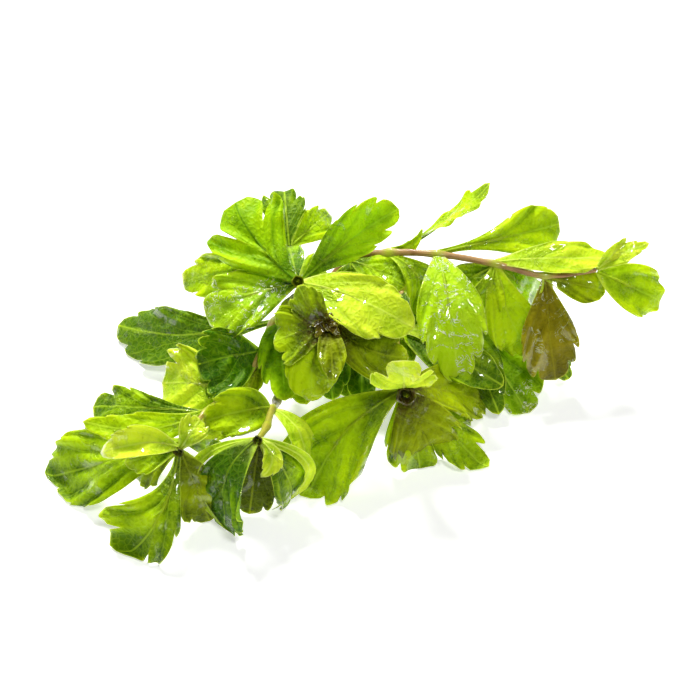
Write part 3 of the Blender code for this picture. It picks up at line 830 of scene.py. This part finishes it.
leaf(
    "left_leaf_1", "left_shoot", 1, (-83, 29, 4), (-90, 55), 22, "blunt",
    arch=0.05, bow=0.07, widest=0.58, lop=0.1, tone_and_painted_shade=0.55,
)
leaf("left_leaf_2", "left_shoot", 1, (-22, -24, 19), (-80, 40), 17, arch=0.16, wedge=0.7, skin=DEEP)
leaf(
    "left_leaf_3", "left_shoot", 2, (-51, -17.5, 28.5), (-90, 47), 25, "blunt",
    arch=0.145, lean=-0.4, cup=70, wedge=0.85, lop=0.14, skin=DEEP, tone_and_painted_shade=0.9,
)
leaf("left_leaf_4", "left_shoot", 2, (-36, -19, 13), (-90, 20), 7, "young", skin=OLIVE)
leaf(
    "left_leaf_5", "left_shoot", 3, (-64, -17, 19.6), (-100, 50), 26,
    arch=0.11, wedge=0.7, cut=0.9, skin=PALE,
)
leaf("left_leaf_6", "left_shoot", 4, (-86, -43.5, 26.8), (-100, 60), 11, "young", arch=0.17, bow=0.16)
leaf(
    "left_leaf_7", "left_shoot", 4, (-87, -21, 12), (-100, 60), 16,
    arch=0.06, widest=0.64, cut=1.2, tone_and_painted_shade=0.4,
)
leaf(
    "left_leaf_8", "left_shoot", 5, (-102, -42, -1), (-95, 55), 26, "blunt",
    arch=0.08, bow=0.02, tone_and_painted_shade=-0.2,
)
leaf(
    "left_leaf_9", "left_shoot", 6, (-74, -76, -3), (-100, 60), 26, "round",
    arch=0.14, bow=0.16, widest=0.55, wedge=1.5, lop=-0.25, tone_and_painted_shade=0.1, heart=0.3,
)
leaf(
    "left_leaf_10", "left_shoot", 6, (-78, -61, 31), (-90, 60), 12, "young",
    arch=0.35, cup=120, skin=PALE, tone_and_painted_shade=-0.4,
)
leaf("left_leaf_11", "left_shoot", 6, (-48, -61, 1), (-60, 30), 13, "young", arch=0.04, wedge=0.8)
leaf("left_leaf_12", "left_shoot", 6, (-72, -57, 22), (-100, 50), 11, "young")
leaf("left_leaf_13", "left_shoot", 5, (-43, -38, 10), (-60, 50), 8, "young", arch=0.0)
leaf(
    "left_leaf_14", "left_shoot", 3, (-47, -19, 10), (-100, 50), 24,
    wedge=0.7, skin=DEEP, tone_and_painted_shade=0.3, new=True,
)
leaf(
    "left_leaf_15", "left_shoot", 6, (-48, -48, 33), (-90, 40), 10, "young",
    arch=0.2, cup=60, skin=PALE, new=True,
)
leaf(
    "left_leaf_16", "left_shoot", 6, (-71, -50, 10), (-95, 55), 16, "round",
    arch=0.1, skin=OLIVE, tone_and_painted_shade=0.1, new=True,
)
leaf(
    "left_leaf_17", "left_shoot", 6, (-46, -63, 1), (-80, 40), 18,
    arch=0.1, wedge=0.8, skin=OLIVE, tone_and_painted_shade=-0.1, new=True,
)


# The near shoot's leaves. Its tip stands up, and they hang from it down to the table, between narrow
# pale ones that are bent and cupped.

leaf(
    "near_leaf_1", "near_shoot", 3, (-49, -43, 21), (-90, 60), 14, "young",
    arch=0.25, cup=70, wedge=0.8, skin=PALE,
)
leaf(
    "near_leaf_2", "near_shoot", 3, (-15, -46, 9), (-30, 60), 9, "young",
    arch=0.3, wedge=0.7, skin=PALE,
)
leaf(
    "near_leaf_3", "near_shoot", 5, (-40, -67, 0), (-140, 40), 22, "blunt",
    arch=0.24, lean=0.5, wedge=0.7, skin=DEEP, tone_and_painted_shade=0.6, heart=0.4,
)
leaf(
    "near_leaf_4", "near_shoot", 5, (-33, -60, 1), (-90, 30), 18, "blunt",
    arch=-0.04, wedge=0.8, skin=OLIVE, tone_and_painted_shade=0.9, heart=0.6,
)
leaf(
    "near_leaf_5", "near_shoot", 5, (-21, -57, 2), (-40, 40), 15, "young",
    arch=0.2, wedge=0.8, tone_and_painted_shade=0.3,
)
leaf("near_leaf_6", "near_shoot", 1, (-15, -17, 10), (-80, 50), 13, "young", new=True)
leaf(
    "near_leaf_7", "near_shoot", 3, (-47, -43, 27), (-90, 50), 16, "young",
    arch=0.3, cup=60, wedge=0.7, tone_and_painted_shade=-0.1, new=True,
)
leaf(
    "near_leaf_8", "near_shoot", 5, (-40, -68, 1), (-140, 40), 5, "young",
    arch=0.25, bow=-0.38, cup=120, skin=PALE, new=True,
)
leaf(
    "near_leaf_9", "near_shoot", 5, (-24.5, -58.5, 2), (-60, 40), 5, "young",
    arch=0.2, bow=0.4, cup=120, skin=PALE, new=True,
)
leaf(
    "near_leaf_10", "near_shoot", 5, (-28, -64, 23), (-80, 30), 7, "young",
    arch=0.2, bow=0.3, cup=80, skin=PALE, new=True,
)


# The buds. A shoot ends in a ring of leaf tissue that hasn't opened, dark brown at its lip, round a
# small olive point. The centre shoot's bud has tiny brown leaves round it, which glitter with water.

BUD_ROWS, BUD_RING = 41, 48
SIDE_WAVE, FINE_WAVE, LIP_WAVE = 0.05, 0.03, 0.15
# Radius and height from a bud's foot over its lip to the point inside it, as shares of its radius.
BUD_OUTLINE = np.array(
    [
        (0.3, 0), (0.7, 0.3), (1, 0.8), (0.95, 1.1), (0.75, 1.05),
        (0.55, 0.5), (0.4, 0.55), (0.2, 0.9), (0.03, 1),
    ]
)


def bud(stem_name, radius, heart, lift=0.2):
    """A turned shape on the end of a stem. Its outline is the smooth route through BUD_OUTLINE, and
    sines of the angle round the stem wave its radius and its lip. heart says how brown it is."""
    home = STEMS[stem_name]
    axis = home.axis(len(home.nodes) - 1)
    across = unit(np.cross(axis, [0.05, 0.0, 1.0]))
    upright = np.cross(across, axis)
    row = np.linspace(0, len(BUD_OUTLINE) - 1, BUD_ROWS)
    out, up = smooth_route(BUD_OUTLINE, row).T[..., None] * radius
    angle = np.arange(BUD_RING) * 2 * math.pi / BUD_RING
    out = out * (1 + SIDE_WAVE * np.sin(5 * angle + radius) + FINE_WAVE * np.sin(11 * angle + 3 * up))
    up = up * (1 + LIP_WAVE * np.sin(3 * angle + 2)) + lift
    spokes = across * np.cos(angle)[:, None] + upright * np.sin(angle)[:, None]
    rings = home.nodes[-1] + axis * up[..., None] + spokes * out[..., None]
    uv = np.stack(np.broadcast_arrays(up / UV_SPAN, 0.6 + radius * angle / UV_SPAN), -1)
    # The tone mark paints shade inside the lip, where it turns down to the point.
    lip_painted_shade = np.interp(row, [0, 3, 5, 8], [0.4, 0.3, 1.0, 0.3])[:, None]
    browned = heart * np.interp(row, [0, 2, 5, 6, 8], [0.4, 1.0, 1.0, 0.3, 0.1])[:, None]
    marks = {"rank": 0.5, "edge": 5.0, "tone_and_painted_shade": lip_painted_shade, "heart": browned}
    piece = closed_skin(stem_name + "_bud", rings, OLIVE, uv, **marks)


bud("front_shoot", 3.3, 0.85, 2.4)
bud("crown_shoot", 2.1, 0.25, 0.6)
bud("centre_shoot", 1.9, 0.8)
bud("left_shoot", 1.7, 0.5)
bud("near_shoot", 1.6, 0.4)

# Heading, rise and length of each.
TINY_LEAVES = ((-160, 20, 5.5), (-125, 0, 6.5), (-88, 25, 5), (-55, 5, 7), (-20, 30, 6), (60, 60, 5))
for number, (heading, rise, length) in enumerate(TINY_LEAVES):
    tip = STEMS["centre_shoot"].nodes[-1] + direction(heading, rise) * length
    leaf(
        f"centre_tiny_leaf_{number + 1}", "centre_shoot", 3, tip, (-90, 60), 3.2, "young",
        arch=0.2, cup=90, stalk=0.45, skin=BROWN, tone_and_painted_shade=0.4, heart=0.9, new=True,
    )


# The floor: a plain white sheet that the plant lies on. It shines a little of its own, so that it stays
# as white as in the photo.

FLOOR_HALF = 1.5
FLOOR_WHITE, FLOOR_ROUGHNESS, FLOOR_GLOW = 0.92, 0.8, 0.5

corners = [(x * FLOOR_HALF, y * FLOOR_HALF, 0.0) for x, y in ((-1, -1), (1, -1), (1, 1), (-1, 1))]
floor_mesh = bpy.data.meshes.new("floor")
floor_mesh.from_pydata(corners, [], [(0, 1, 2, 3)])
floor_paint = bpy.data.materials.new("floor_white")
floor_paint.use_nodes = True
paint = floor_paint.node_tree.nodes["Principled BSDF"].inputs
paint["Base Color"].default_value = (FLOOR_WHITE, FLOOR_WHITE, FLOOR_WHITE, 1)
paint["Roughness"].default_value = FLOOR_ROUGHNESS
paint["Emission Color"].default_value = (1, 1, 1, 1)
paint["Emission Strength"].default_value = FLOOR_GLOW
floor_mesh.materials.append(floor_paint)
floor = bpy.data.objects.new("floor", floor_mesh)
bpy.context.scene.collection.objects.link(floor)


# The light: a big soft box above and behind, whose reflection lies on the wet leaves, a weaker one
# in front, and an even white surround.

SURROUND_GLOW = 0.08


def soft_box(name, place, size, watts):
    """A square lamp that is turned to the plant's middle."""
    lamp = bpy.data.lights.new(name, "AREA")
    lamp.shape = "SQUARE"
    lamp.size = size
    lamp.energy = watts
    box = bpy.data.objects.new(name, lamp)
    x, y, z = place
    box.location = place
    box.rotation_euler = math.atan2(math.hypot(x, y), z), 0, math.atan2(-x, y) + math.pi
    bpy.context.scene.collection.objects.link(box)


soft_box("back_light", (-0.3, 0.7, 1.0), 0.28, 22.0)
soft_box("front_light", (0.25, -0.55, 1.1), 0.22, 6.0)

surround = bpy.data.worlds.new("surround")
surround.use_nodes = True
surround.node_tree.nodes["Background"].inputs["Color"].default_value = (1, 1, 1, 1)
surround.node_tree.nodes["Background"].inputs["Strength"].default_value = SURROUND_GLOW
bpy.context.scene.world = surround
bpy.context.scene.view_settings.view_transform = "Standard"


# The camera: 600 mm from the plant's middle, looking down at it from the near side.

CAMERA_AIM = (-0.003, 0.010, 0.025)
CAMERA_DISTANCE = 0.6
CAMERA_RISE = math.radians(42)
FOCAL_LENGTH, SENSOR_WIDTH, NEAREST = 89.5, 36.0, 0.01

lens = bpy.data.cameras.new("camera")
lens.lens = FOCAL_LENGTH
lens.sensor_width = SENSOR_WIDTH
lens.clip_start = NEAREST
camera = bpy.data.objects.new("camera", lens)
camera.location = (
    CAMERA_AIM[0],
    CAMERA_AIM[1] - CAMERA_DISTANCE * math.cos(CAMERA_RISE),
    CAMERA_AIM[2] + CAMERA_DISTANCE * math.sin(CAMERA_RISE),
)
camera.rotation_euler = (math.pi / 2 - CAMERA_RISE, 0, 0)
bpy.context.scene.collection.objects.link(camera)
bpy.context.scene.camera = camera
